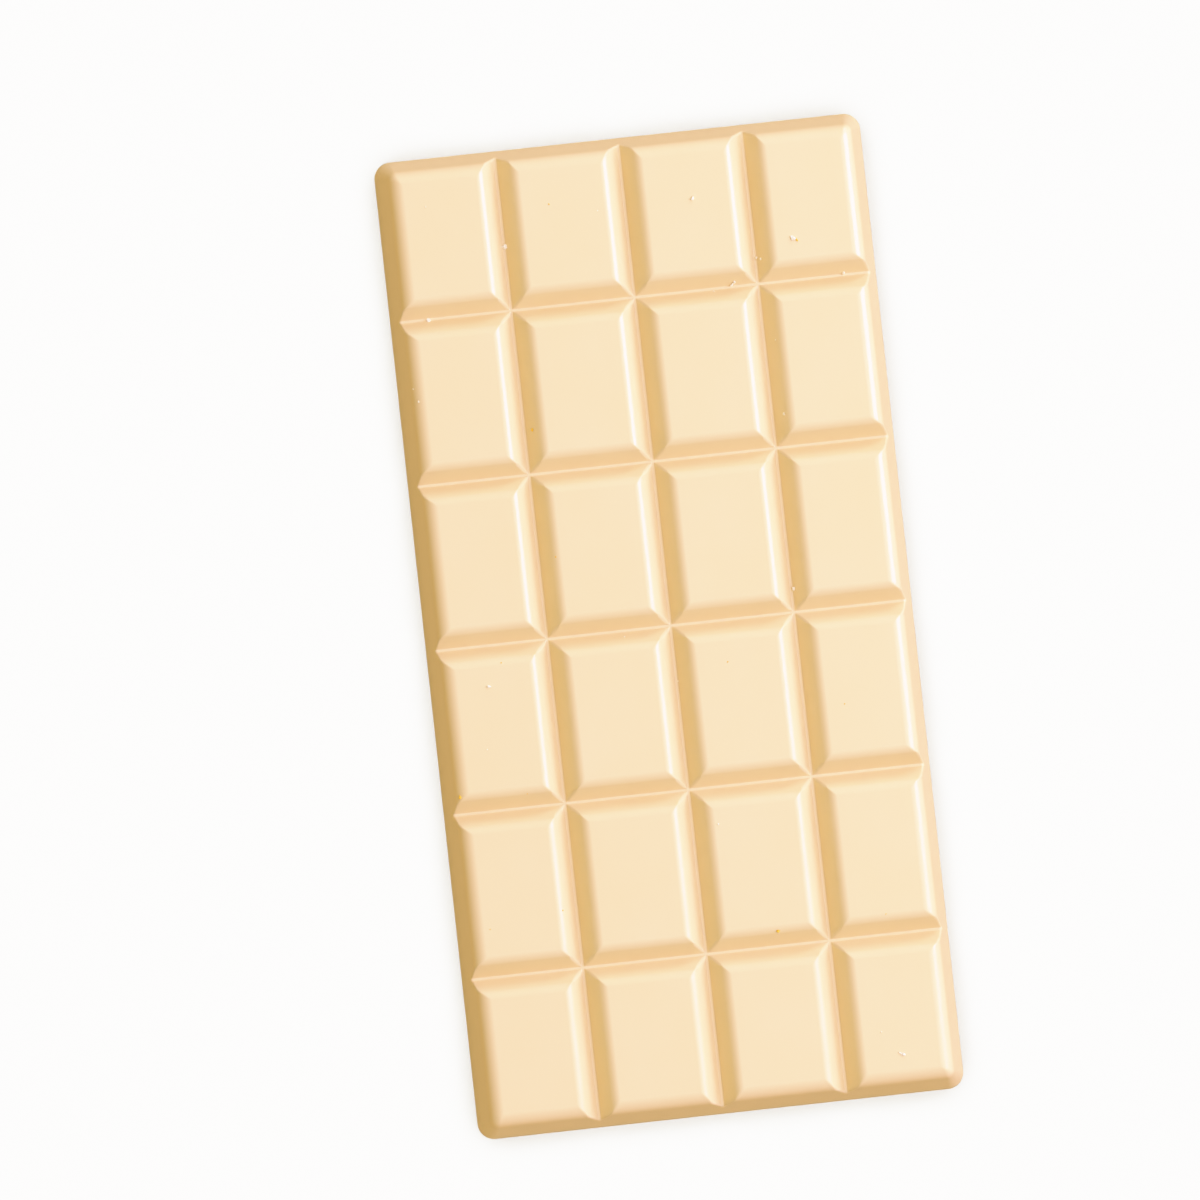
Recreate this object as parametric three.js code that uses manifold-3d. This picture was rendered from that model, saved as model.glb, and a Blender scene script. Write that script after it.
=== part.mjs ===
// A tablet of white chocolate: one moulded piece, scored by V-shaped grooves into 24 blocks to snap off.
// Millimetres, +Z up, +X across the tablet and +Y along it.
// The tablet lies on its flat underside, and the origin is the middle of that face.
import * as THREE from "three";
import { mergeVertices } from "three/addons/utils/BufferGeometryUtils.js";
import Module from "manifold-3d";

// Driving dimensions of the tablet
const barWidth = 75;
const barLength = 150.4;
const barHeight = 8.5;
const columns = 4;
const rows = 6;
const columnPitch = 19;
const rowPitch = 25.25;

// Outer wall: its draft as the inset reached at the top, and the plan corners at the foot and the top
const wallInset = 2.3;
const footCornerRadius = 2.6;
const topCornerRadius = 0.9;
const topEdgeRadius = 1.5;

// Grooves: a narrow floor between two sloping sides that roll over into the blocks' top faces
const grooveDepth = 3.7;
const grooveTopWidth = 4.8;
const grooveFloorWidth = 0.38;
const grooveLipRadius = 1.7;

// Steps in a quarter turn of a plan corner, and in a rounded edge
const cornerSteps = 6;
const edgeSteps = 5;

// How far a groove's cutter runs out past the tablet
const cutterOverrun = 2;

// Colour and finish of the chocolate
const chocolateColour = "#f6e0ba";
const chocolateRoughness = 0.4;

// The arc that rounds the edge between a slope and the flat top above it, from the slope up to the top.
// The slope runs at slopeAngle above the horizontal. Across is measured from the sharp edge, towards
// the middle of the flat top, and up is the height above the sharp edge.
function roundedEdge(radius, slopeAngle) {
  const tangentLength = radius * Math.tan(slopeAngle / 2);
  const points = [];
  for (let step = 0; step <= edgeSteps; step += 1) {
    const angle = slopeAngle * (1 - step / edgeSteps);
    points.push({
      across: tangentLength - radius * Math.sin(angle),
      up: radius * (Math.cos(angle) - 1),
    });
  }
  return points;
}

// A rounded rectangle in plan, inset from the foot of the wall.
function planOutline(inset, radius) {
  const arcX = barWidth / 2 - inset - radius;
  const arcY = barLength / 2 - inset - radius;
  const quarter = Math.PI / 2;
  const outline = new THREE.Path();
  outline.absarc(arcX, arcY, radius, 0, quarter);
  outline.absarc(-arcX, arcY, radius, quarter, 2 * quarter);
  outline.absarc(-arcX, -arcY, radius, 2 * quarter, 3 * quarter);
  outline.absarc(arcX, -arcY, radius, 3 * quarter, 4 * quarter);
  return outline.getPoints(cornerSteps / 2);
}

// The wall from its foot to the flat top: heights and insets up the draft and over the rounded edge.
function wallSteps() {
  const draftAngle = Math.atan2(barHeight, wallInset);
  const edge = roundedEdge(topEdgeRadius, draftAngle).map((point) => ({
    inset: wallInset + point.across,
    height: barHeight + point.up,
  }));
  return [{ inset: 0, height: 0 }, ...edge];
}

// A closed solid through a stack of outlines that all have the same number of points.
function loft(levels) {
  const count = levels[0].outline.length;
  const positions = levels.flatMap(({ outline, height }) => outline.flatMap((point) => [point.x, point.y, height]));
  const index = [];
  for (let level = 0; level + 1 < levels.length; level += 1) {
    for (let corner = 0; corner < count; corner += 1) {
      const lower = level * count + corner;
      const lowerNext = level * count + ((corner + 1) % count);
      index.push(lower, lowerNext, lowerNext + count);
      index.push(lower, lowerNext + count, lower + count);
    }
  }
  const topStart = (levels.length - 1) * count;
  for (const [a, b, c] of THREE.ShapeUtils.triangulateShape(levels[0].outline, [])) {
    index.push(c, b, a);
    index.push(topStart + a, topStart + b, topStart + c);
  }
  const geometry = new THREE.BufferGeometry();
  geometry.setAttribute("position", new THREE.Float32BufferAttribute(positions, 3));
  geometry.setIndex(index);
  return geometry;
}

// The plain drafted tablet, before its grooves.
function tabletBlank() {
  const levels = wallSteps().map(({ inset, height }) => {
    const radius = THREE.MathUtils.lerp(footCornerRadius, topCornerRadius, inset / wallInset);
    return { outline: planOutline(inset, radius), height };
  });
  return loft(levels);
}

// The section of a groove's cutter: floor, sloping side, rolled lip, and clear of the top.
function grooveSection() {
  const halfFloor = grooveFloorWidth / 2;
  const halfTop = grooveTopWidth / 2;
  const floorHeight = barHeight - grooveDepth;
  const slopeAngle = Math.atan2(grooveDepth, halfTop - halfFloor);
  const rightSide = [new THREE.Vector2(halfFloor, floorHeight)];
  for (const point of roundedEdge(grooveLipRadius, slopeAngle)) {
    rightSide.push(new THREE.Vector2(halfTop + point.across, barHeight + point.up));
  }
  const lip = rightSide[rightSide.length - 1];
  rightSide.push(new THREE.Vector2(lip.x, barHeight + cutterOverrun));
  const leftSide = rightSide.map((point) => new THREE.Vector2(-point.x, point.y)).reverse();
  return new THREE.Shape([...rightSide, ...leftSide]);
}

// A cutter as long as needed, centred, its section in the plane across it.
function grooveCutter(length) {
  const geometry = new THREE.ExtrudeGeometry(grooveSection(), {
    depth: length + 2 * cutterOverrun,
    bevelEnabled: false,
  });
  geometry.translate(0, 0, -length / 2 - cutterOverrun);
  geometry.rotateX(Math.PI / 2);
  return geometry;
}

// Where the grooves lie between a number of blocks, evenly about the middle.
function groovePlaces(blocks, pitch) {
  return Array.from({ length: blocks - 1 }, (_, groove) => (groove + 1 - blocks / 2) * pitch);
}

// All the cutters: those along the tablet, then those across it.
function grooveCutters() {
  const along = groovePlaces(columns, columnPitch).map((x) => grooveCutter(barLength).translate(x, 0, 0));
  const across = groovePlaces(rows, rowPitch).map((y) =>
    grooveCutter(barWidth)
      .rotateZ(Math.PI / 2)
      .translate(0, y, 0),
  );
  return [...along, ...across];
}

const wasm = await Module();
wasm.setup();

// A closed geometry as a solid that can be cut.
function solidOf(geometry) {
  const bare = geometry.clone();
  bare.deleteAttribute("normal");
  bare.deleteAttribute("uv");
  const merged = mergeVertices(bare);
  return new wasm.Manifold(
    new wasm.Mesh({
      numProp: 3,
      vertProperties: merged.attributes.position.array,
      triVerts: new Uint32Array(merged.index.array),
    }),
  );
}

// A solid back as a geometry, flat shaded.
function geometryOf(solid) {
  const mesh = solid.getMesh();
  const geometry = new THREE.BufferGeometry();
  geometry.setAttribute("position", new THREE.BufferAttribute(mesh.vertProperties, 3));
  geometry.setIndex(new THREE.BufferAttribute(mesh.triVerts, 1));
  const faceted = geometry.toNonIndexed();
  faceted.computeVertexNormals();
  return faceted;
}

// The moulded tablet: the blank with every groove cut through it from side to side.
function chocolateBar() {
  let tablet = solidOf(tabletBlank());
  for (const cutter of grooveCutters()) {
    tablet = tablet.subtract(solidOf(cutter));
  }
  const material = new THREE.MeshStandardMaterial({
    color: chocolateColour,
    roughness: chocolateRoughness,
    metalness: 0,
  });
  const mesh = new THREE.Mesh(geometryOf(tablet), material);
  mesh.name = "chocolate_bar";
  return mesh;
}

const part = new THREE.Group();
part.add(chocolateBar());

export default part;
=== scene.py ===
"""The finish of a moulded tablet of white chocolate, lying on a white table under soft studio light.

The tablet is one casting: its mesh lines are laid out here, and a Geometry Nodes tree raises the blocks,
grooves and outer walls from a few named sizes. Lengths are in metres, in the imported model's frame:
+X across the tablet, +Y along it, +Z up from the face it lies on.
"""

import math

import bpy
import numpy as np
from bpy.props import FloatProperty, FloatVectorProperty, IntProperty, PointerProperty
from mathutils import Matrix, Vector
from mathutils.bvhtree import BVHTree


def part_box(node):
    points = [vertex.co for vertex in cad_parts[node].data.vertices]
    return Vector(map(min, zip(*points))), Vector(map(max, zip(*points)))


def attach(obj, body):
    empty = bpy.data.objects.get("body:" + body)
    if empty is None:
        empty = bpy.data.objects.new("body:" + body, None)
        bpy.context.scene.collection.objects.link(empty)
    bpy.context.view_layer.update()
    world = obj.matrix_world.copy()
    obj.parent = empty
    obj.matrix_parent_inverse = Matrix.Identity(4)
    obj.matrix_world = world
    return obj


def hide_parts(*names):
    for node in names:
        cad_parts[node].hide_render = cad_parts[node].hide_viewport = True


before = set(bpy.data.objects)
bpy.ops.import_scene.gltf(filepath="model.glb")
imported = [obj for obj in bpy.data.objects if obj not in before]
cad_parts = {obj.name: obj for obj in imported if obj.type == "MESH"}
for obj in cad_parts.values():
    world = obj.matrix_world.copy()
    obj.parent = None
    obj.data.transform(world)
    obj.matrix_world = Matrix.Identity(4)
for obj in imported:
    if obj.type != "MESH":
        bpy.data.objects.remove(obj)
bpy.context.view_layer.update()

bl_info = {
    "name": "White chocolate tablet",
    "version": (1, 0, 0),
    "blender": (4, 5, 0),
    "location": "View3D > Sidebar > Chocolate",
    "description": "Casts a tablet of white chocolate, its crumbs and the table it lies on",
    "category": "Object",
}

NODE = "chocolate_bar"
BODY = "root"
MM = 0.001
HALF_WIDTH, HALF_LENGTH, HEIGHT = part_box(NODE)[1]

# How many steps of the mesh lie over each form
ROUNDED_STEPS = 12
SLOPE_STEPS = 3
WALL_STEPS = 9
FOOT_STEPS = 5

# How far apart the lumps of each pattern lie, in millimetres
WANDER_SPAN = 200 / 11
CLOUD_SPAN = 100 / 9
RIPPLE_SPAN = 25 / 4
LUMP_SPAN = 5 / 12
GRAIN_SPAN = 5 / 13
PATCH_SPAN = 1 / 4

# A noise that wanders to both sides of zero, and changes with its seed
NOISE_ABOUT_ZERO = {"noise_dimensions": "4D", "normalize": False}

COCOA_BUTTER_IOR = 1.46

# Sockets that are found by their place: the object coordinates, and a Mix node's colours and result
OBJECT_PLACE = 3
MIX_FIRST, MIX_SECOND, MIX_COLOUR = 6, 7, 2

# Where the photograph, taken as 1200 x 1200 pixels, shows the tablet
PHOTO_SIDE_PX = 1200
TABLET_MIDDLE_PX = (669, 626)
PX_PER_MM = 6.53
TABLET_TURN = math.radians(6.24)

# The crumbs that the photograph shows, each by its place right of and beyond the tablet's middle and its
# length in millimetres, its width as a share of its length, and its turn in degrees
SHAVINGS = (
    (-18.9, 60.3, 0.9, 0.9, 0),
    (10.2, 64.5, 0.6, 0.8, 30),
    (-31.8, 50.4, 0.7, 0.7, 110),
    (15.2, 51.1, 1.3, 0.35, 50),
    (19.2, 54.5, 0.6, 0.7, 20),
    (19.8, 54.2, 0.4, 0.8, 80),
    (24.8, 56.8, 0.9, 0.6, 140),
    (32.2, 50.8, 0.6, 0.7, 60),
    (20.7, 30.3, 0.5, 0.9, 0),
    (-35.3, 40.1, 0.35, 0.8, 0),
    (-34.75, 38.1, 0.35, 0.8, 90),
    (19.4, 3.6, 0.8, 0.5, 40),
    (-28.8, -6.3, 0.6, 0.7, 170),
    (27.9, -68.9, 1.1, 0.3, 145),
)
SPECKS = (
    (-17.8, 32.0, 0.5, 0.8, 35),
    (-35.0, -22.5, 0.7, 0.5, 80),
    (11.1, -48.1, 0.6, 0.8, 0),
    (25.4, 56.5, 0.5, 0.7, 120),
)


def linear(hex_colour):
    """An sRGB hex colour as linear red, green, blue."""
    channels = [int(hex_colour[place : place + 2], 16) / 255 for place in (1, 3, 5)]
    return tuple(c / 12.92 if c <= 0.04045 else ((c + 0.055) / 1.055) ** 2.4 for c in channels)


def length(name, description, millimetres):
    """A size that a user can change, given in millimetres."""
    return FloatProperty(
        name=name, description=description, default=millimetres * MM, min=0.0, unit="LENGTH", precision=5
    )


def colour(name, description, hex_colour):
    """A colour that a user can change, given as sRGB hex."""
    return FloatVectorProperty(
        name=name,
        description=description,
        subtype="COLOR",
        size=3,
        min=0.0,
        max=1.0,
        default=linear(hex_colour),
    )


def power(name, description, watts):
    """The power of a light, in watts."""
    return FloatProperty(name=name, description=description, default=watts, min=0.0, unit="POWER")


class TabletSizes(bpy.types.PropertyGroup):
    """Sizes of the moulded tablet."""

    columns: IntProperty(name="Columns", description="Blocks across, an even number", default=4, min=2)
    rows: IntProperty(name="Rows", description="Blocks along, an even number", default=6, min=2)
    column_pitch: length("Column pitch", "From groove to groove across the tablet", 19.0)
    row_pitch: length("Row pitch", "From groove to groove along the tablet", 25.25)
    wall_inset: length("Wall inset", "How far the outer wall leans in by its top", 2.3)
    foot_corner: length("Foot corner", "Radius of the plan corners at the foot of the wall", 2.6)
    top_corner: length("Top corner", "Radius of the plan corners at the top of the wall", 0.9)
    top_edge: length("Top edge", "Radius of the edge between wall and top", 2.2)
    foot_edge: length("Foot edge", "Radius of the edge between wall and underside", 0.15)
    groove_depth: length("Groove depth", "From the blocks' tops to the groove floor", 3.7)
    groove_width: length("Groove width", "Between the blocks' tops", 4.8)
    groove_floor: length("Groove floor", "Width of the flat floor", 0.38)
    groove_lip: length("Groove lip", "Radius of the edge between groove and top", 1.7)
    crease: length("Crease", "Softness of the creases where two slopes meet", 0.15)
    floor_softness: length("Floor softness", "Softness of the foot of a groove's slopes", 0.12)
    wander: length("Wander", "How far the cast faces wander from true", 0.02)


class CrumbSettings(bpy.types.PropertyGroup):
    """Loose crumbs on the tablet."""

    thickness: FloatProperty(
        name="Thickness", description="A crumb's thickness as a share of its width", default=0.7, min=0.1
    )
    raggedness: FloatProperty(
        name="Raggedness", description="A crumb's lumps as a share of its length", default=0.3, min=0.0
    )
    dust: IntProperty(name="Dust", description="Tiny crumbs of each kind, by chance", default=9, min=0)
    dust_size: length("Dust size", "Length of a tiny crumb", 0.25)


class ChocolateLook(bpy.types.PropertyGroup):
    """Colours of the chocolate."""

    ivory: colour("Ivory", "The cast chocolate", "#F1E2A8")
    cream: colour("Cream", "Paler clouds where more cocoa butter lies at the face", "#F2E4AE")
    shaving: colour("Shaving", "Crumbs scraped from the bar", "#FFFFE2")
    shade: colour("Shade", "The shavings' creamier patches", "#FFF6CC")
    caramel: colour("Caramel", "Specks of browned milk sugar", "#F8D94C")
    toffee: colour("Toffee", "The specks' darkest parts", "#F0C238")


class StageSettings(bpy.types.PropertyGroup):
    """The table, the camera and the light."""

    table: colour("Table", "Matt grey table, which its own lights make white", "#808080")
    board: colour("Board", "Warm board that throws light back up", "#E8BE7E")
    camera_distance: FloatProperty(
        name="Camera distance", description="From the lens to the table", default=2.5, unit="LENGTH"
    )
    lean_left: FloatProperty(
        name="Lean left",
        description="The camera's lean to the tablet's left",
        default=math.radians(2.8),
        unit="ROTATION",
    )
    lean_near: FloatProperty(
        name="Lean near",
        description="The camera's lean to the near end",
        default=math.radians(0.4),
        unit="ROTATION",
    )
    high_light: colour("High light", "Light from higher up all round", "#FFE5A0")
    sky: FloatProperty(name="Sky", description="Strength of the high light", default=0.57, min=0.0)
    low_light: colour("Low light", "Light from low down all round", "#FFEABE")
    low_strength: FloatProperty(
        name="Low strength", description="Strength of the low light", default=0.554, min=0.0
    )
    table_light: power("Table light", "Power of each soft light for the table alone", 13.3)
    lamp_light: colour("Lamp light", "Colour of the soft lights", "#C2B5F5")
    overhead: power("Overhead", "Power of the soft light above", 6.6)
    key: power("Key", "Power of the soft light at the right", 8.6)
    glint: power("Glint", "Power of the light that draws the edges", 10.5)
    far_key: power("Far key", "Power of the low light at the far right", 6.2)
    far_light: colour("Far light", "Colour of the low light at the far right", "#C2CAFF")


def add_node(tree, kind, *values, output=0, named=None, **settings):
    """Adds a node with its settings, sets or links its inputs, and gives one of its outputs."""
    node = tree.nodes.new(kind)
    for name, value in settings.items():
        setattr(node, name, value)
    for key, value in list(enumerate(values)) + list((named or {}).items()):
        if isinstance(value, bpy.types.NodeSocket):
            tree.links.new(value, node.inputs[key])
        else:
            node.inputs[key].default_value = value
    return node.outputs[output]


def pattern_scale(millimetres):
    """The scale of a noise whose lumps lie this far apart."""
    return 1 / (millimetres * MM)


def geometry_tree(name, inputs, result):
    """An empty Geometry Nodes tree with these inputs, by name and kind. Gives it and its inputs' sockets."""
    tree = bpy.data.node_groups.new(name, "GeometryNodeTree")
    for input_name, kind in inputs:
        tree.interface.new_socket(name=input_name, in_out="INPUT", socket_type="NodeSocket" + kind)
    tree.interface.new_socket(name=result, in_out="OUTPUT", socket_type="NodeSocketGeometry")
    given = {socket.name: socket for socket in tree.nodes.new("NodeGroupInput").outputs}
    return tree, given


def empty_material(name):
    """A material without nodes, and its tree."""
    material = bpy.data.materials.new(name)
    material.use_nodes = True
    material.node_tree.nodes.clear()
    return material, material.node_tree


# The tablet's mesh lines, which gather where the moulded face bends


def edge_reach(radius, rise, run):
    """How far in plan a rounded edge reaches past its sharp edge, down the slope and onto the flat."""
    angle = math.atan2(rise, run)
    tangent = radius * math.tan(angle / 2)
    return tangent * math.cos(angle), tangent


def groove_offsets(sizes):
    """Distances of the mesh lines from a groove's middle, out to the end of its rounded lip."""
    half_floor = sizes.groove_floor / 2
    half_width = sizes.groove_width / 2
    down, onto = edge_reach(sizes.groove_lip, sizes.groove_depth, half_width - half_floor)
    floor = [half_floor * share for share in (0.5, 0.85, 1.0, 1.15, 1.5)]
    slope = np.linspace(half_floor * 2, half_width - down, SLOPE_STEPS + 1)
    lip = np.linspace(half_width - down, half_width + onto, ROUNDED_STEPS + 1)[1:]
    return floor + list(slope) + list(lip)


def foot_arc(sizes):
    """The insets and heights of the rounded foot, from where it meets the wall down to the underside."""
    lean = math.atan2(HEIGHT, sizes.wall_inset)
    radius = sizes.foot_edge
    along = radius / math.tan(lean / 2)
    turns = np.linspace(lean + math.pi / 2, math.pi * 3 / 2, FOOT_STEPS + 1)
    return [(along + radius * math.cos(turn), radius + radius * math.sin(turn)) for turn in turns]


def wall_offsets(sizes):
    """Insets of the mesh lines from the tablet's foot, up the outer wall and over its rounded edge."""
    down, onto = edge_reach(sizes.top_edge, HEIGHT, sizes.wall_inset)
    wall = np.linspace(foot_arc(sizes)[0][0], sizes.wall_inset - down, WALL_STEPS + 1)
    edge = np.linspace(sizes.wall_inset - down, sizes.wall_inset + onto, ROUNDED_STEPS + 1)[1:]
    return list(wall) + list(edge)


def widening(start, end, first=0.08 * MM, growth=1.6):
    """Places after start and up to end, in steps that widen from the first one."""
    steps = [first]
    while sum(steps) < end - start:
        steps.append(steps[-1] * growth)
    return list(start + np.cumsum(steps) * (end - start) / sum(steps))


def mesh_lines(blocks, pitch, half_side, sizes):
    """The places of all mesh lines along one axis of the tablet."""
    grooves = [(groove + 1 - blocks / 2) * pitch for groove in range(blocks - 1)]
    offsets = groove_offsets(sizes)
    walls = wall_offsets(sizes)
    lines = []
    for middle in grooves:
        lines += [middle] + [middle + side * offset for offset in offsets for side in (-1, 1)]
    flats = [(start + offsets[-1], end - offsets[-1]) for start, end in zip(grooves, grooves[1:])]
    outer_flat = (grooves[-1] + offsets[-1], half_side - walls[-1])
    flats += [outer_flat, (-outer_flat[1], -outer_flat[0])]
    for start, end in flats:
        half_flat = widening(start, (start + end) / 2)
        lines += half_flat + [start + end - place for place in half_flat[:-1]]
    for side in (-1, 1):
        lines += [side * (half_side - inset) for inset in walls]
    return np.array(sorted(lines))


def bend_corners(x, y, sizes):
    """Bends the square rings of mesh lines round the plan corners. Gives the points and their insets."""
    from_right, from_far = HALF_WIDTH - np.abs(x), HALF_LENGTH - np.abs(y)
    inset = np.minimum(from_right, from_far)
    tightening = (sizes.foot_corner - sizes.top_corner) / sizes.wall_inset
    radius = np.maximum(sizes.foot_corner - tightening * inset, 1e-9)
    along = np.maximum(from_right, from_far) - inset
    bent = along < radius
    turn = (1 - along / radius) * math.pi / 4
    turn = np.where(from_right <= from_far, turn, math.pi / 2 - turn)
    bent_x = np.sign(x) * (HALF_WIDTH - inset - radius + radius * np.cos(turn))
    bent_y = np.sign(y) * (HALF_LENGTH - inset - radius + radius * np.sin(turn))
    return np.where(bent, bent_x, x), np.where(bent, bent_y, y), inset


def block_side(places, blocks, pitch):
    """On which side of its block's middle each place lies, as -1 or 1."""
    block = np.clip(np.floor(places / pitch + blocks / 2), 0, blocks - 1)
    return np.sign(places - (block + 0.5 - blocks / 2) * pitch)


def cast_faces(lines_x, lines_y, sizes):
    """Triangles of the moulded face, each pair split towards its block's middle, along the creases."""
    rows = len(lines_y)
    side_x = block_side((lines_x[1:] + lines_x[:-1]) / 2, sizes.columns, sizes.column_pitch)
    side_y = block_side((lines_y[1:] + lines_y[:-1]) / 2, sizes.rows, sizes.row_pitch)
    column, row = np.meshgrid(np.arange(len(lines_x) - 1), np.arange(rows - 1), indexing="ij")
    a = (column * rows + row).ravel()
    b, c, d = a + rows, a + rows + 1, a + 1
    rising = (side_x[:, None] * side_y[None, :]).ravel()[:, None] > 0
    first = np.where(rising, np.stack([a, b, c], 1), np.stack([a, b, d], 1))
    second = np.where(rising, np.stack([a, c, d], 1), np.stack([b, c, d], 1))
    return np.concatenate([first, second]).tolist()


def rim_loop(columns, rows):
    """The points round the edge of the moulded face, in order."""
    near = [column * rows for column in range(columns)]
    right = [(columns - 1) * rows + row for row in range(1, rows)]
    far = [column * rows + rows - 1 for column in range(columns - 2, -1, -1)]
    left = list(range(rows - 2, 0, -1))
    return near + right + far + left


def foot_and_underside(points, loop, sizes):
    """Adds the rounded foot below the moulded face's edge, and the flat underside."""
    core = np.array([HALF_WIDTH, HALF_LENGTH]) - sizes.foot_corner
    rim = points[loop, :2]
    middle = np.clip(rim, -core, core)
    outwards = (rim - middle) / np.linalg.norm(rim - middle, axis=1)[:, None]
    arc = foot_arc(sizes)[1:]
    rings = arc + [(arc[-1][0] + reach * MM, 0.0) for reach in (0.1, 0.5)]
    faces = []
    lower = list(loop)
    for inset, height in rings:
        place = middle + outwards * (sizes.foot_corner - inset)
        ring = list(range(len(points), len(points) + len(loop)))
        points = np.vstack([points, np.column_stack([place, np.full(len(loop), height)])])
        for index in range(len(loop)):
            after = (index + 1) % len(loop)
            faces.append([ring[index], ring[after], lower[after], lower[index]])
        lower = ring
    faces.append(lower[::-1])
    return points, faces


def tablet_blank(sizes):
    """The tablet before its relief: the face still flat, the rounded foot and underside in their place."""
    lines_x = mesh_lines(sizes.columns, sizes.column_pitch, HALF_WIDTH, sizes)
    lines_y = mesh_lines(sizes.rows, sizes.row_pitch, HALF_LENGTH, sizes)
    grid_x, grid_y = np.meshgrid(lines_x, lines_y, indexing="ij")
    x, y, inset = bend_corners(grid_x.ravel(), grid_y.ravel(), sizes)
    points = np.column_stack([x, y, np.zeros(len(x))])
    faces = cast_faces(lines_x, lines_y, sizes)
    loop = rim_loop(len(lines_x), len(lines_y))
    points, foot_faces = foot_and_underside(points, loop, sizes)
    mesh = bpy.data.meshes.new("tablet_blank")
    mesh.from_pydata(points.tolist(), [], faces + foot_faces)
    moulded = mesh.attributes.new("moulded", "BOOLEAN", "POINT")
    moulded.data.foreach_set("value", [index < len(inset) for index in range(len(points))])
    insets = mesh.attributes.new("inset", "FLOAT", "POINT")
    insets.data.foreach_set("value", np.pad(inset, (0, len(points) - len(inset))).astype(np.float32))
    return mesh


# The relief rule


def rolled_edge(tree, place, sharp_edge, rise, run, radius):
    """How far the face has dropped below the flat top at a place, over a rounded edge and down a slope."""
    slope = add_node(tree, "ShaderNodeMath", rise, run, operation="DIVIDE")
    angle = add_node(tree, "ShaderNodeMath", slope, operation="ARCTANGENT")
    half_angle = add_node(tree, "ShaderNodeMath", angle, 0.5, operation="MULTIPLY")
    tangent = add_node(tree, "ShaderNodeMath", half_angle, operation="TANGENT")
    flat_end = add_node(tree, "ShaderNodeMath", radius, tangent, sharp_edge, operation="MULTIPLY_ADD")
    beyond = add_node(tree, "ShaderNodeMath", flat_end, place, operation="SUBTRACT")
    off_flat = add_node(tree, "ShaderNodeMath", beyond, 0.0, operation="MAXIMUM")
    sine = add_node(tree, "ShaderNodeMath", angle, operation="SINE")
    arc_width = add_node(tree, "ShaderNodeMath", sine, radius, operation="MULTIPLY")
    on_arc = add_node(tree, "ShaderNodeMath", off_flat, arc_width, operation="MINIMUM")
    arc_square = add_node(tree, "ShaderNodeMath", on_arc, on_arc, operation="MULTIPLY")
    radius_square = add_node(tree, "ShaderNodeMath", radius, radius, operation="MULTIPLY")
    level_square = add_node(tree, "ShaderNodeMath", radius_square, arc_square, operation="SUBTRACT")
    level = add_node(tree, "ShaderNodeMath", level_square, operation="SQRT")
    arc_drop = add_node(tree, "ShaderNodeMath", radius, level, operation="SUBTRACT")
    on_slope = add_node(tree, "ShaderNodeMath", off_flat, on_arc, operation="SUBTRACT")
    return add_node(tree, "ShaderNodeMath", on_slope, slope, arc_drop, operation="MULTIPLY_ADD")


def groove_drop(tree, place, blocks, pitch, given):
    """The drop of the face into the grooves that are set out along one axis."""
    distance = add_node(tree, "ShaderNodeMath", place, operation="ABSOLUTE")
    half_pitch = add_node(tree, "ShaderNodeMath", pitch, 0.5, operation="MULTIPLY")
    to_nearest = add_node(tree, "ShaderNodeMath", distance, half_pitch, operation="PINGPONG")
    side_blocks = add_node(tree, "ShaderNodeMath", blocks, 0.5, -1.0, operation="MULTIPLY_ADD")
    last = add_node(tree, "ShaderNodeMath", side_blocks, pitch, operation="MULTIPLY")
    past_last = add_node(tree, "ShaderNodeMath", distance, last, operation="SUBTRACT")
    off_middle = add_node(tree, "ShaderNodeMath", to_nearest, past_last, operation="MAXIMUM")
    half_width = add_node(tree, "ShaderNodeMath", given["Groove width"], 0.5, operation="MULTIPLY")
    half_floor = add_node(tree, "ShaderNodeMath", given["Groove floor"], 0.5, operation="MULTIPLY")
    run = add_node(tree, "ShaderNodeMath", half_width, half_floor, operation="SUBTRACT")
    return rolled_edge(tree, off_middle, half_width, given["Groove depth"], run, given["Groove lip"])


def deeper(tree, one, other, softness):
    """The larger of two drops, the crease between them softened, but never where either is flat."""
    shallow = add_node(tree, "ShaderNodeMath", one, other, operation="MINIMUM")
    reach = add_node(tree, "ShaderNodeMath", shallow, softness, operation="MINIMUM")
    return add_node(tree, "ShaderNodeMath", one, other, reach, operation="SMOOTH_MAX")


def relief_height(tree, axes, given):
    """The height of the moulded face: the flat top, less its drop into the grooves and down the wall."""
    inset = add_node(tree, "GeometryNodeInputNamedAttribute", "inset", data_type="FLOAT")
    across = groove_drop(tree, axes.outputs[0], given["Columns"], given["Column pitch"], given)
    along = groove_drop(tree, axes.outputs[1], given["Rows"], given["Row pitch"], given)
    grooves = deeper(tree, across, along, given["Crease"])
    depth, softness = given["Groove depth"], given["Floor softness"]
    floored = add_node(tree, "ShaderNodeMath", grooves, depth, softness, operation="SMOOTH_MIN")
    lean = given["Wall inset"]
    wall = rolled_edge(tree, inset, lean, given["Height"], lean, given["Top edge"])
    drop = deeper(tree, floored, wall, given["Crease"])
    return add_node(tree, "ShaderNodeMath", given["Height"], drop, operation="SUBTRACT")


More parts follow.
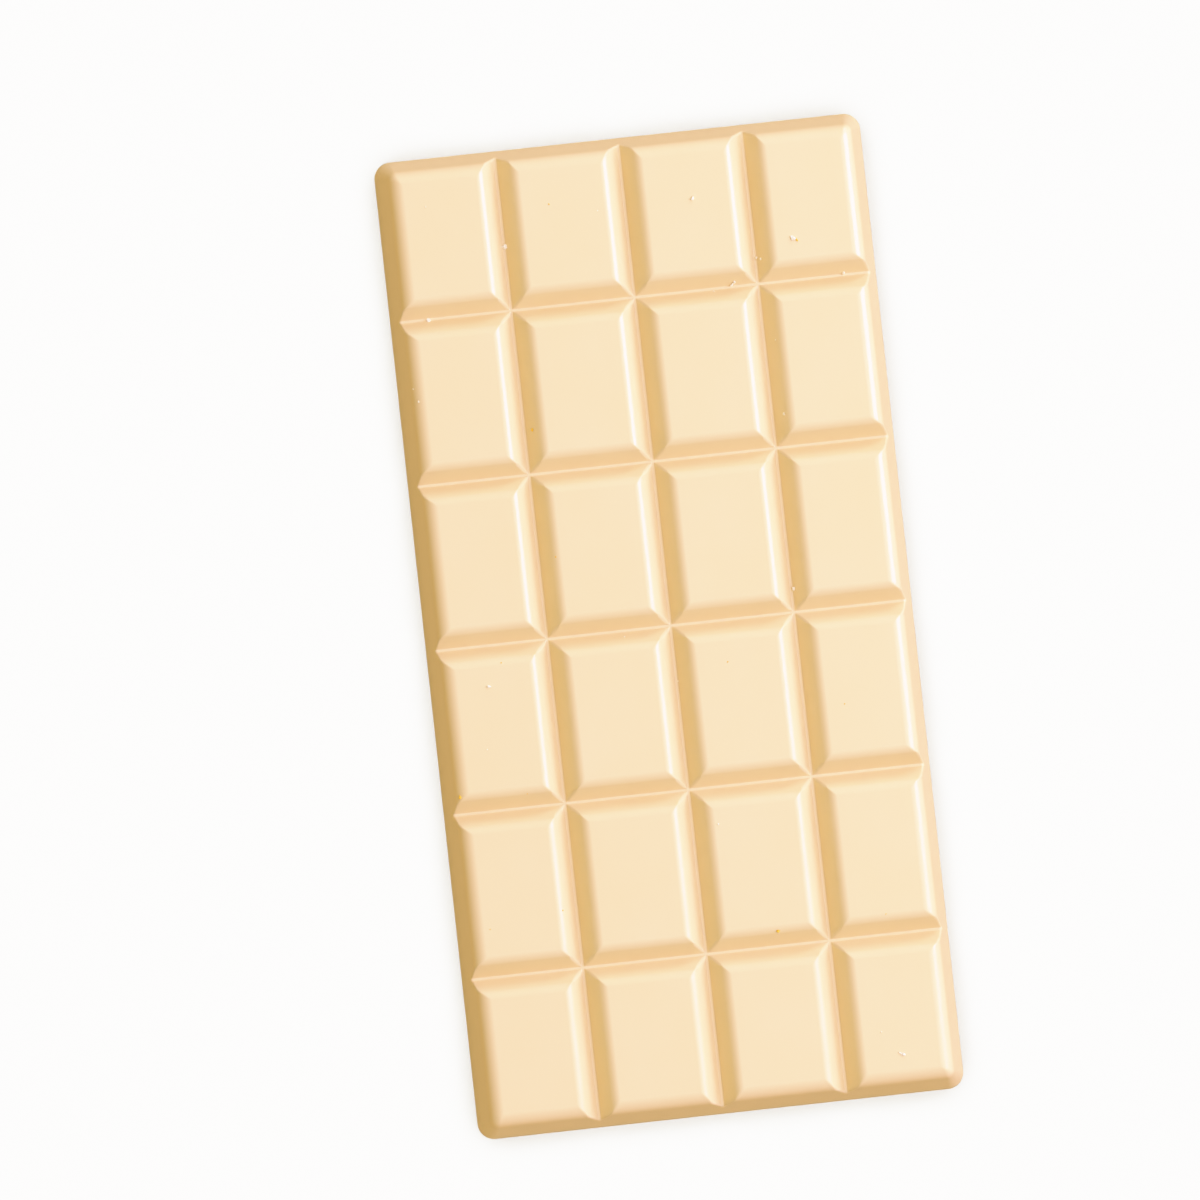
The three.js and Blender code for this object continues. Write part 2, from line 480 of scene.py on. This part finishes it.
def relief_tree():
    """The Geometry Nodes tree that raises the moulded face from its named sizes."""
    lengths = ("Column pitch", "Row pitch", "Height", "Wall inset", "Top edge", "Groove depth")
    lengths += ("Groove width", "Groove floor", "Groove lip", "Crease", "Floor softness", "Wander")
    inputs = [("Blank", "Geometry"), ("Columns", "Int"), ("Rows", "Int")]
    inputs += [(name, "Float") for name in lengths]
    inputs += [("Seed", "Float"), ("Chocolate", "Material")]
    tree, given = geometry_tree("Tablet relief", inputs, "Tablet")

    position = add_node(tree, "GeometryNodeInputPosition")
    axes = add_node(tree, "ShaderNodeSeparateXYZ", position).node
    moulded = add_node(tree, "GeometryNodeInputNamedAttribute", "moulded", data_type="BOOLEAN")
    height = relief_height(tree, axes, given)

    scale = pattern_scale(WANDER_SPAN)
    clouds = add_node(tree, "ShaderNodeTexNoise", position, given["Seed"], scale, 1.0, **NOISE_ABOUT_ZERO)
    share = add_node(tree, "ShaderNodeMath", height, given["Height"], operation="DIVIDE")
    reach = add_node(tree, "ShaderNodeMath", share, given["Wander"], operation="MULTIPLY")
    shift = add_node(tree, "ShaderNodeMath", clouds, reach, height, operation="MULTIPLY_ADD")
    lifted = add_node(tree, "ShaderNodeCombineXYZ", axes.outputs[0], axes.outputs[1], shift)
    raised = add_node(tree, "GeometryNodeSetPosition", given["Blank"], moulded, lifted)
    smooth = add_node(tree, "GeometryNodeSetShadeSmooth", raised)
    whole = add_node(tree, "GeometryNodeRealizeInstances", smooth)
    dressed = add_node(tree, "GeometryNodeSetMaterial", whole, named={"Material": given["Chocolate"]})
    tree.links.new(dressed, tree.nodes.new("NodeGroupOutput").inputs[0])
    return tree


def grow(name, mesh, tree, inputs):
    """Runs a Geometry Nodes tree on a mesh and keeps the result as a plain object."""
    seed_object = bpy.data.objects.new(name + "_blank", mesh)
    bpy.context.scene.collection.objects.link(seed_object)
    modifier = seed_object.modifiers.new(tree.name, "NODES")
    modifier.node_group = tree
    for socket in tree.interface.items_tree:
        if socket.in_out == "INPUT" and socket.name in inputs:
            modifier[socket.identifier] = inputs[socket.name]
    evaluated = seed_object.evaluated_get(bpy.context.evaluated_depsgraph_get())
    result = bpy.data.meshes.new_from_object(evaluated)
    result.name = name
    bpy.data.objects.remove(seed_object)
    piece = bpy.data.objects.new(name, result)
    bpy.context.scene.collection.objects.link(piece)
    return piece


# The crumbs


def crumb_places(places, crumbs, seed):
    """Where crumbs lie, each with its length, slimness and turn: first those that show, then the dust."""
    chance = np.random.default_rng(seed)
    spread = 0.9
    found = []
    for x, y, size, slimness, turn in places:
        found.append((x * MM, y * MM, size * MM, slimness, math.radians(turn)))
    for _ in range(crumbs.dust):
        across, along = chance.uniform(-spread, spread, 2) * (HALF_WIDTH, HALF_LENGTH)
        slimness = chance.uniform(0.6, 1.0)
        found.append((across, along, crumbs.dust_size, slimness, chance.uniform(0, math.pi)))
    return found


def crumb_spots(name, places, surface, crumbs):
    """Points on the tablet's face for the crumbs, each with its size and turn and the way the face looks."""
    points, sizes, facing, turns = [], [], [], []
    lift_share = 0.3
    for x, y, size, slimness, turn in places:
        spot, normal, _, _ = surface.ray_cast(Vector((x, y, 2 * HEIGHT)), Vector((0, 0, -1)))
        width = size * slimness
        thickness = width * crumbs.thickness
        points.append(spot + normal * thickness * lift_share)
        sizes += [size, width, thickness]
        facing += list(normal)
        turns.append(turn)
    mesh = bpy.data.meshes.new(name + "_spots")
    mesh.from_pydata(points, [], [])
    mesh.attributes.new("size", "FLOAT_VECTOR", "POINT").data.foreach_set("vector", sizes)
    mesh.attributes.new("facing", "FLOAT_VECTOR", "POINT").data.foreach_set("vector", facing)
    mesh.attributes.new("turn", "FLOAT", "POINT").data.foreach_set("value", turns)
    return mesh


def crumb_tree():
    """The Geometry Nodes tree that makes each spot a ragged crumb, which lies on the face below it."""
    inputs = [("Spots", "Geometry"), ("Raggedness", "Float"), ("Seed", "Float"), ("Crumb", "Material")]
    tree, given = geometry_tree("Crumbs", inputs, "Crumbs")

    size = add_node(tree, "GeometryNodeInputNamedAttribute", "size", data_type="FLOAT_VECTOR")
    facing = add_node(tree, "GeometryNodeInputNamedAttribute", "facing", data_type="FLOAT_VECTOR")
    turn = add_node(tree, "GeometryNodeInputNamedAttribute", "turn", data_type="FLOAT")
    upright = add_node(tree, "ShaderNodeCombineXYZ", 0.0, 0.0, turn)
    flat = add_node(tree, "FunctionNodeEulerToRotation", upright)
    lying = add_node(tree, "FunctionNodeAlignRotationToVector", flat, 1.0, facing, axis="Z")
    ball = add_node(tree, "GeometryNodeMeshIcoSphere", 0.5, 4)
    laid = {"Instance": ball, "Rotation": lying, "Scale": size}
    balls = add_node(tree, "GeometryNodeInstanceOnPoints", given["Spots"], named=laid)
    whole = add_node(tree, "GeometryNodeRealizeInstances", balls)

    position = add_node(tree, "GeometryNodeInputPosition")
    normal = add_node(tree, "GeometryNodeInputNormal")
    scale = pattern_scale(LUMP_SPAN)
    lumps = add_node(tree, "ShaderNodeTexNoise", position, given["Seed"], scale, 2.0, **NOISE_ABOUT_ZERO)
    crumb_length = add_node(tree, "ShaderNodeSeparateXYZ", size)
    reach = add_node(tree, "ShaderNodeMath", crumb_length, given["Raggedness"], operation="MULTIPLY")
    shift = add_node(tree, "ShaderNodeMath", lumps, reach, operation="MULTIPLY")
    outwards = add_node(tree, "ShaderNodeVectorMath", normal, operation="SCALE", named={"Scale": shift})
    ragged = add_node(tree, "GeometryNodeSetPosition", whole, named={"Offset": outwards})
    smooth = add_node(tree, "GeometryNodeSetShadeSmooth", ragged)
    dressed = add_node(tree, "GeometryNodeSetMaterial", smooth, named={"Material": given["Crumb"]})
    tree.links.new(dressed, tree.nodes.new("NodeGroupOutput").inputs[0])
    return tree


# Materials


def white_chocolate():
    """White chocolate: cocoa butter, milk solids and sugar, cast against a polished mould.

    It is a warm ivory, deeper in the grooves where the light has struck it more than once. The cast face is
    satin, with soft highlights along its rounded edges. The poured underside is duller and faintly rippled.
    """
    look = bpy.context.scene.chocolate_look
    glossiest, dullest, poured_dullness = 0.2, 0.24, 0.25
    poured_up_to, cast_from = 0.05 * MM, 0.2 * MM
    material, tree = empty_material("white_chocolate")
    place = add_node(tree, "ShaderNodeTexCoord", output=OBJECT_PLACE)
    cloud_shape = {"Scale": pattern_scale(CLOUD_SPAN), "Detail": 3.0}
    clouds = add_node(tree, "ShaderNodeTexNoise", place, named=cloud_shape)
    shades = {MIX_FIRST: (*look.ivory, 1), MIX_SECOND: (*look.cream, 1)}
    tint = add_node(tree, "ShaderNodeMix", clouds, named=shades, data_type="RGBA", output=MIX_COLOUR)
    satin = add_node(tree, "ShaderNodeMapRange", clouds, 0.3, 0.7, glossiest, dullest)

    grain_shape = {"Scale": pattern_scale(GRAIN_SPAN), "Detail": 2.0}
    grain = add_node(tree, "ShaderNodeTexNoise", place, named=grain_shape)
    grain_relief = {"Strength": 0.08, "Distance": 0.05 * MM, "Height": grain}
    fine = add_node(tree, "ShaderNodeBump", named=grain_relief)

    level = add_node(tree, "ShaderNodeSeparateXYZ", place, output=2)
    poured = add_node(tree, "ShaderNodeMapRange", level, poured_up_to, cast_from, 1.0, 0.0)
    roughness = add_node(tree, "ShaderNodeMath", poured, poured_dullness, satin, operation="MULTIPLY_ADD")
    ripple_shape = {"Scale": pattern_scale(RIPPLE_SPAN), "Detail": 3.0, "Distortion": 1.5}
    ripples = add_node(tree, "ShaderNodeTexNoise", place, named=ripple_shape)
    ripple_height = add_node(tree, "ShaderNodeMath", ripples, poured, operation="MULTIPLY")
    ripple_relief = {"Strength": 0.5, "Distance": 0.4 * MM, "Height": ripple_height, "Normal": fine}
    bump = add_node(tree, "ShaderNodeBump", named=ripple_relief)

    face = {"Base Color": tint, "Roughness": roughness, "IOR": COCOA_BUTTER_IOR, "Normal": bump}
    shader = add_node(tree, "ShaderNodeBsdfPrincipled", named=face)
    tree.links.new(shader, tree.nodes.new("ShaderNodeOutputMaterial").inputs["Surface"])
    return material


def crumb_material(name, pale, dark, roughness):
    """A crumb's broken face: two shades in patches a quarter of a millimetre across, and a rough grain."""
    material, tree = empty_material(name)
    place = add_node(tree, "ShaderNodeTexCoord", output=OBJECT_PLACE)
    patch_shape = {"Scale": pattern_scale(PATCH_SPAN), "Detail": 3.0}
    patches = add_node(tree, "ShaderNodeTexNoise", place, named=patch_shape)
    shades = {MIX_FIRST: (*dark, 1), MIX_SECOND: (*pale, 1)}
    tint = add_node(tree, "ShaderNodeMix", patches, named=shades, data_type="RGBA", output=MIX_COLOUR)
    relief = {"Strength": 0.3, "Distance": 0.03 * MM, "Height": patches}
    bump = add_node(tree, "ShaderNodeBump", named=relief)
    face = {"Base Color": tint, "Roughness": roughness, "IOR": COCOA_BUTTER_IOR, "Normal": bump}
    shader = add_node(tree, "ShaderNodeBsdfPrincipled", named=face)
    tree.links.new(shader, tree.nodes.new("ShaderNodeOutputMaterial").inputs["Surface"])
    return material


def matt_board(name, tint):
    """Matt cardboard, as photographers lay under things: one even tone, without gloss."""
    material, tree = empty_material(name)
    face = {"Base Color": (*tint, 1), "Roughness": 0.9, "Specular IOR Level": 0.0}
    shader = add_node(tree, "ShaderNodeBsdfPrincipled", named=face)
    tree.links.new(shader, tree.nodes.new("ShaderNodeOutputMaterial").inputs["Surface"])
    return material


class CHOCOLATE_OT_tablet(bpy.types.Operator):
    """Casts the tablet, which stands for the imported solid"""

    bl_idname = "chocolate.tablet"
    bl_label = "Cast the tablet"

    def execute(self, context):
        sizes = context.scene.chocolate_sizes
        inputs = {
            "Columns": sizes.columns,
            "Rows": sizes.rows,
            "Column pitch": sizes.column_pitch,
            "Row pitch": sizes.row_pitch,
            "Height": HEIGHT,
            "Wall inset": sizes.wall_inset,
            "Top edge": sizes.top_edge,
            "Groove depth": sizes.groove_depth,
            "Groove width": sizes.groove_width,
            "Groove floor": sizes.groove_floor,
            "Groove lip": sizes.groove_lip,
            "Crease": sizes.crease,
            "Floor softness": sizes.floor_softness,
            "Wander": sizes.wander,
            "Seed": 3.0,
            "Chocolate": white_chocolate(),
        }
        tablet = grow("tablet", tablet_blank(sizes), relief_tree(), inputs)
        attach(tablet, BODY)
        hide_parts(NODE)
        return {"FINISHED"}


class CHOCOLATE_OT_crumbs(bpy.types.Operator):
    """Strews pale shavings and specks of browned milk sugar on the tablet"""

    bl_idname = "chocolate.crumbs"
    bl_label = "Strew the crumbs"

    def execute(self, context):
        look = context.scene.chocolate_look
        tablet = bpy.data.objects["tablet"].data
        surface = BVHTree.FromPolygons(
            [vertex.co for vertex in tablet.vertices], [face.vertices for face in tablet.polygons]
        )
        tree = crumb_tree()
        pale = crumb_material("shaving", look.shaving, look.shade, roughness=0.45)
        brown = crumb_material("browned_sugar", look.caramel, look.toffee, roughness=0.35)
        self.strew("shavings", SHAVINGS, surface, tree, pale, seed=5)
        self.strew("caramel_specks", SPECKS, surface, tree, brown, seed=8)
        return {"FINISHED"}

    def strew(self, name, places, surface, tree, material, seed):
        """Makes the crumbs of one kind, as one piece that lies on the tablet."""
        crumbs = bpy.context.scene.chocolate_crumbs
        spots = crumb_spots(name, crumb_places(places, crumbs, seed), surface, crumbs)
        inputs = {"Raggedness": crumbs.raggedness, "Seed": float(seed), "Crumb": material}
        piece = grow(name, spots, tree, inputs)
        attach(piece, BODY)


class CHOCOLATE_OT_stage(bpy.types.Operator):
    """Sets the table, the camera and the soft studio light"""

    bl_idname = "chocolate.stage"
    bl_label = "Set the stage"

    def execute(self, context):
        stage = context.scene.chocolate_stage
        self.table(stage)
        self.camera(stage)
        self.light(stage)
        self.exposure(context.scene.view_settings)
        return {"FINISHED"}

    def exposure(self, view):
        """Straight tones, with a soft shoulder that keeps the lit edges from burning out."""
        view.view_transform = "Standard"
        view.use_curve_mapping = True
        mapping = view.curve_mapping
        brightest, shoulder, steps = 2.0, 0.8, 8
        mapping.white_level = (brightest, brightest, brightest)
        mapping.initialize()
        combined = mapping.curves[3]
        headroom = 1 - shoulder
        combined.points[0].location = (0.0, 0.0)
        combined.points[-1].location = (1.0, 1.0)
        for light in np.linspace(shoulder, brightest, steps + 1)[:-1]:
            shown = shoulder + headroom * (1 - math.exp((shoulder - light) / headroom))
            combined.points.new(light / brightest, shown)
        combined.points[0].handle_type = "VECTOR"
        combined.points[1].handle_type = "VECTOR"
        mapping.update()

    def table(self, stage):
        """A table for the camera alone, and in its place a warm board that throws light back up."""
        table = self.sheet("table", matt_board("white_table", stage.table), 0.0)
        table.visible_diffuse = False
        table.visible_glossy = False
        table.visible_shadow = False
        just_below = -0.1 * MM
        board = self.sheet("bounce_board", matt_board("warm_board", stage.board), just_below)
        board.visible_camera = False
        board.visible_glossy = False

    def sheet(self, name, material, height):
        """A large level sheet."""
        half_side = 4.0
        mesh = bpy.data.meshes.new(name)
        corners = [(x * half_side, y * half_side, height) for x, y in ((-1, -1), (1, -1), (1, 1), (-1, 1))]
        mesh.from_pydata(corners, [], [(0, 1, 2, 3)])
        mesh.materials.append(material)
        sheet = bpy.data.objects.new(name, mesh)
        bpy.context.scene.collection.objects.link(sheet)
        return sheet

    def camera(self, stage):
        """Looks down on the tablet, turned and placed in the frame as in the photograph."""
        half_photo = PHOTO_SIDE_PX / 2
        off_middle = Vector((half_photo - TABLET_MIDDLE_PX[0], TABLET_MIDDLE_PX[1] - half_photo))
        right = Vector((math.cos(TABLET_TURN), -math.sin(TABLET_TURN), 0))
        up = Vector((math.sin(TABLET_TURN), math.cos(TABLET_TURN), 0))
        target = (right * off_middle.x + up * off_middle.y) / PX_PER_MM * MM
        towards = Vector((-math.tan(stage.lean_left), -math.tan(stage.lean_near), 1)).normalized()
        side = up.cross(towards).normalized()
        turn = Matrix((side, towards.cross(side), towards)).transposed()
        camera = bpy.data.objects.new("camera", bpy.data.cameras.new("camera"))
        lens_place = target + towards * stage.camera_distance
        camera.matrix_world = Matrix.Translation(lens_place) @ turn.to_4x4()
        frame_width = PHOTO_SIDE_PX / PX_PER_MM * MM
        camera.data.lens = camera.data.sensor_width * stage.camera_distance / frame_width
        camera.data.clip_end = 20
        bpy.context.scene.collection.objects.link(camera)
        bpy.context.scene.camera = camera

    def light(self, stage):
        """Warm surroundings, soft lights for the tablet and a ring of them for the table."""
        self.surroundings(stage)
        self.tablet_lights(stage)
        self.table_lights(stage)

    def tablet_lights(self, stage):
        """Four soft lights above and right of the tablet, which leave the table out.

        Each has its power, its colour, its direction and height in degrees and its two sides in metres. Only
        the two low ones show as highlights.
        """
        all_but_table = bpy.data.collections.new("not_the_table")
        lamps = [
            ("overhead", stage.overhead, stage.lamp_light, 0, 71, 0.45, 0.45),
            ("key", stage.key, stage.lamp_light, 8, 64, 0.45, 0.45),
            ("far_key", stage.far_key, stage.far_light, 62, 20, 0.5, 0.5),
            ("glint", stage.glint, stage.lamp_light, 6, 31, 0.35, 0.75),
        ]
        for name, watts, tint, azimuth, elevation, width, depth in lamps:
            lamp = self.softbox(name, watts, self.place(azimuth, elevation), width, depth)
            lamp.data.color = tint
            lamp.visible_glossy = name in ("glint", "far_key")
            lamp.light_linking.receiver_collection = all_but_table
        all_but_table.objects.link(bpy.data.objects["table"])
        all_but_table.collection_objects[0].light_linking.link_state = "EXCLUDE"

    def table_lights(self, stage):
        """A ring of soft lights for the table alone: they make it white, but for the shade by the tablet."""
        only_table = bpy.data.collections.new("only_the_table")
        only_table.objects.link(bpy.data.objects["table"])
        lights, elevation, side = 8, 60, 0.45
        for azimuth in range(0, 360, 360 // lights):
            place = self.place(azimuth, elevation)
            lamp = self.softbox("table_light", stage.table_light, place, side, side)
            lamp.light_linking.receiver_collection = only_table

    def surroundings(self, stage):
        """Even light from all round, paler low down and more golden from higher up."""
        world = bpy.data.worlds.new("studio")
        world.use_nodes = True
        tree = world.node_tree
        tree.nodes.clear()
        direction = add_node(tree, "ShaderNodeTexCoord")
        height = add_node(tree, "ShaderNodeSeparateXYZ", direction, output=2)
        low_end, high_start = 0.15, 0.45
        share = add_node(tree, "ShaderNodeMapRange", height, low_end, high_start, 0.0, 1.0)
        low = [stage.low_strength * part for part in stage.low_light]
        high = [stage.sky * part for part in stage.high_light]
        tones = {MIX_FIRST: (*low, 1), MIX_SECOND: (*high, 1)}
        glow = add_node(tree, "ShaderNodeMix", share, named=tones, data_type="RGBA", output=MIX_COLOUR)
        background = add_node(tree, "ShaderNodeBackground", glow, 1.0)
        tree.links.new(background, tree.nodes.new("ShaderNodeOutputWorld").inputs["Surface"])
        bpy.context.scene.world = world

    def place(self, azimuth, elevation, distance=1.3):
        """A place round the tablet, by its direction from +X and its height over the table, in degrees."""
        level = distance * math.cos(math.radians(elevation))
        turn = math.radians(azimuth)
        height = distance * math.sin(math.radians(elevation))
        return Vector((level * math.cos(turn), level * math.sin(turn), height))

    def softbox(self, name, watts, place, width, depth):
        """A soft light with straight sides that faces the tablet."""
        data = bpy.data.lights.new(name, "AREA")
        data.energy = watts
        data.shape = "RECTANGLE"
        data.size = width
        data.size_y = depth
        light = bpy.data.objects.new(name, data)
        light.location = place
        light.rotation_euler = place.to_track_quat("Z", "Y").to_euler()
        bpy.context.scene.collection.objects.link(light)
        return light


class CHOCOLATE_PT_panel(bpy.types.Panel):
    """Lists the pieces and their sizes in the 3D view's sidebar"""

    bl_label = "White chocolate"
    bl_idname = "CHOCOLATE_PT_panel"
    bl_space_type = "VIEW_3D"
    bl_region_type = "UI"
    bl_category = "Chocolate"

    def draw(self, context):
        for operator in OPERATORS:
            self.layout.operator(operator.bl_idname)
        for group in PROPERTIES:
            settings = getattr(context.scene, group)
            for name in settings.bl_rna.properties.keys():
                if name not in ("rna_type", "name"):
                    self.layout.prop(settings, name)


OPERATORS = (CHOCOLATE_OT_stage, CHOCOLATE_OT_tablet, CHOCOLATE_OT_crumbs)
PROPERTIES = {
    "chocolate_sizes": TabletSizes,
    "chocolate_crumbs": CrumbSettings,
    "chocolate_look": ChocolateLook,
    "chocolate_stage": StageSettings,
}


def register():
    for group in PROPERTIES.values():
        bpy.utils.register_class(group)
    for cls in (*OPERATORS, CHOCOLATE_PT_panel):
        bpy.utils.register_class(cls)
    for name, group in PROPERTIES.items():
        setattr(bpy.types.Scene, name, PointerProperty(type=group))


def unregister():
    for name in PROPERTIES:
        delattr(bpy.types.Scene, name)
    for cls in (CHOCOLATE_PT_panel, *OPERATORS):
        bpy.utils.unregister_class(cls)
    for group in PROPERTIES.values():
        bpy.utils.unregister_class(group)


def main():
    register()
    bpy.ops.chocolate.stage()
    bpy.ops.chocolate.tablet()
    bpy.ops.chocolate.crumbs()


if __name__ == "__main__":
    main()
